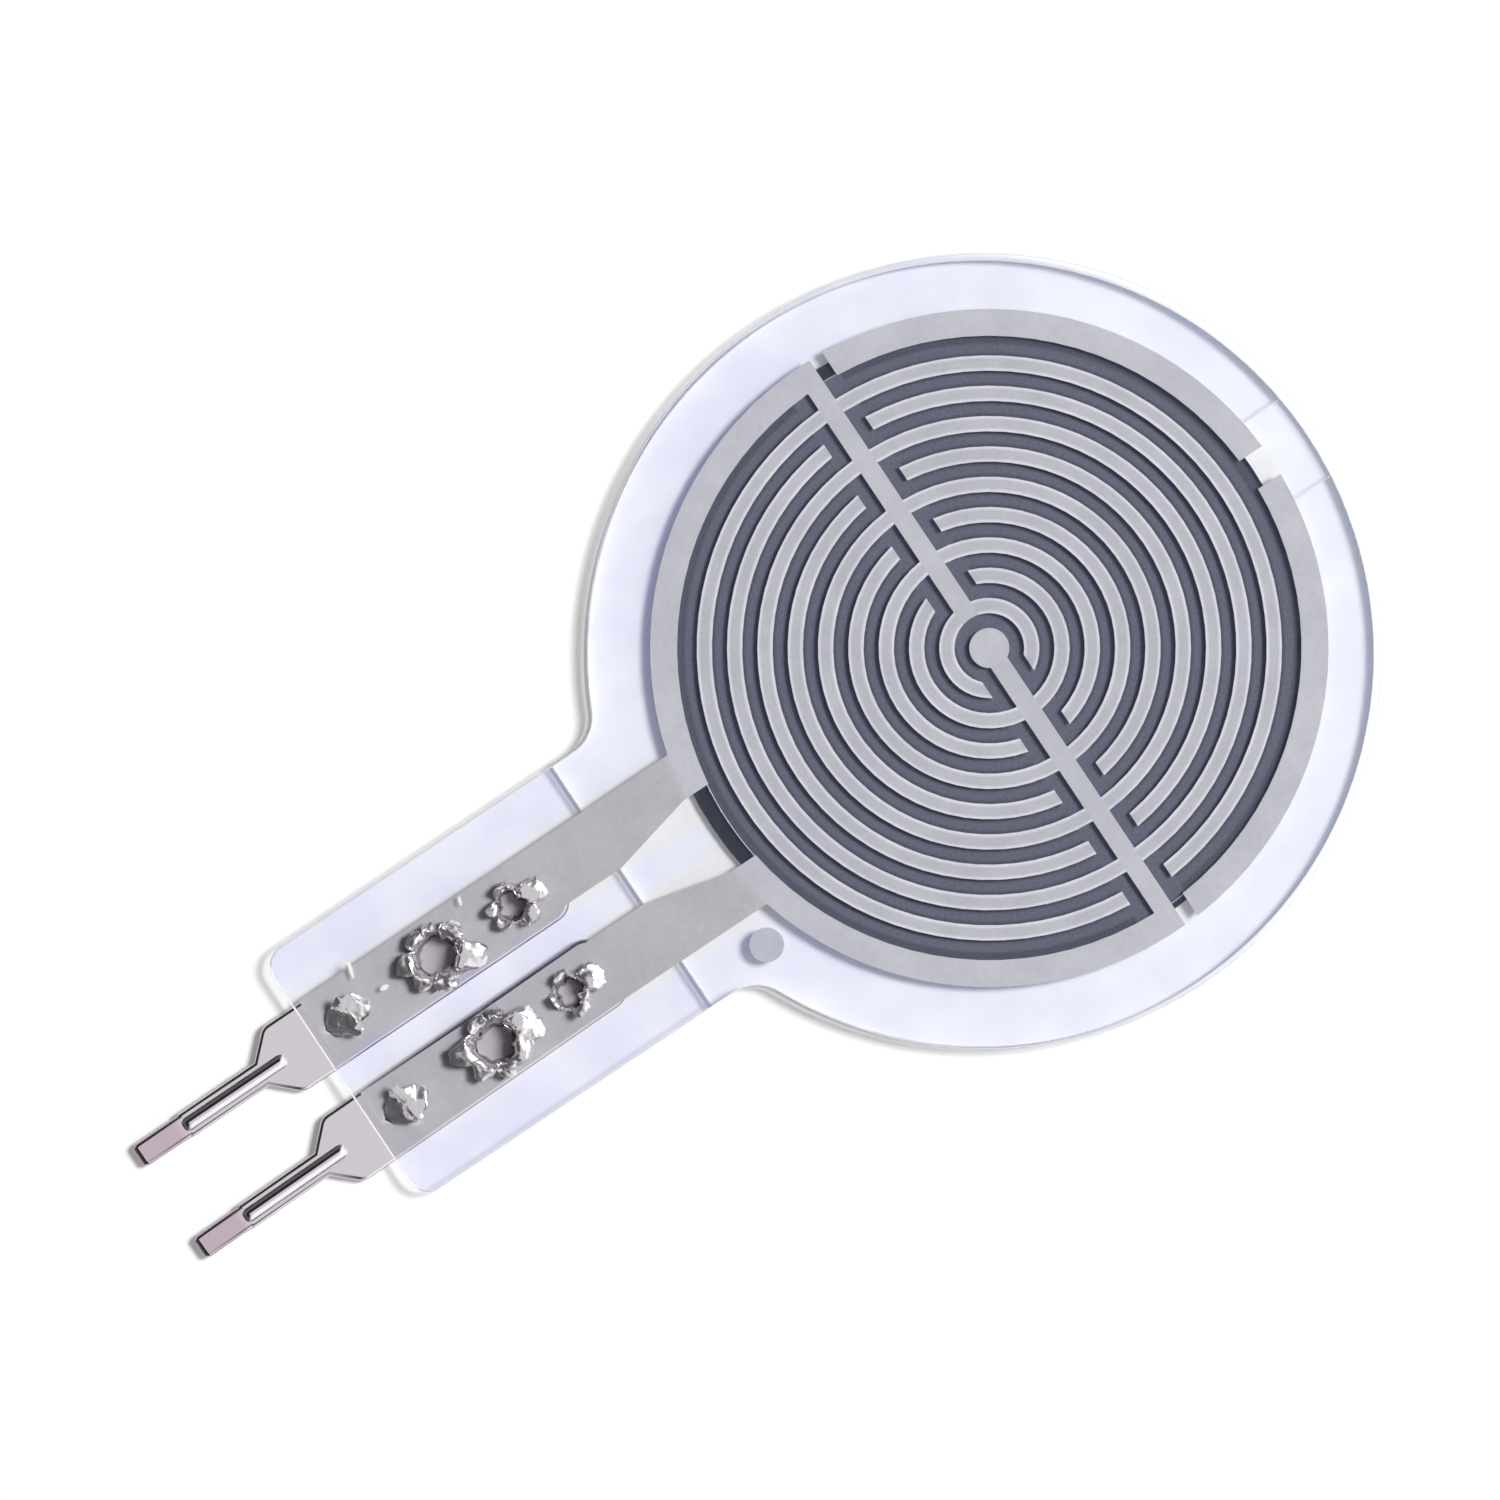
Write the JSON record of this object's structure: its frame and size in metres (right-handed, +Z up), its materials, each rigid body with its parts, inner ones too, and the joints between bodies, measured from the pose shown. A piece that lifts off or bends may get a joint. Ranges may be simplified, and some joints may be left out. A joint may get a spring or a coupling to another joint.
{
  "type": "force sensing resistor",
  "caption": "Thin-film force sensor: clear round film disc with interleaved silver rings over a carbon pad, and a short tail with crimped solder terminals.",
  "frame": {"origin": "centre of the die-cut disc, on the rear face of the lower film", "axes": "+X points away from the tail and its pins, +Y to the side of electrode A, +Z up to the electrode film, whose face is pressed in use"},
  "size_m": [0.0317, 0.0182, 0.0007],
  "materials": {
    "clear_film": "clear polyester film, smooth",
    "adhesive": "clear pressure-sensitive acrylic",
    "carbon_ink": "screen-printed carbon ink, matt",
    "silver_ink": "screen-printed silver ink, seen through the film",
    "tinned_metal": "bright tin plating on stamped strip"
  },
  "bodies": {
    "root": {"electrode_film": "clear_film", "sensing_film": "clear_film", "spacer_adhesive": "adhesive", "carbon_ink_pad": "carbon_ink", "electrode_a": "silver_ink", "electrode_b": "silver_ink", "guard_arc_a": "silver_ink", "guard_arc_b": "silver_ink", "polarity_dot": "silver_ink", "terminal_a": "tinned_metal", "terminal_b": "tinned_metal"}
  },
  "joints": []
}
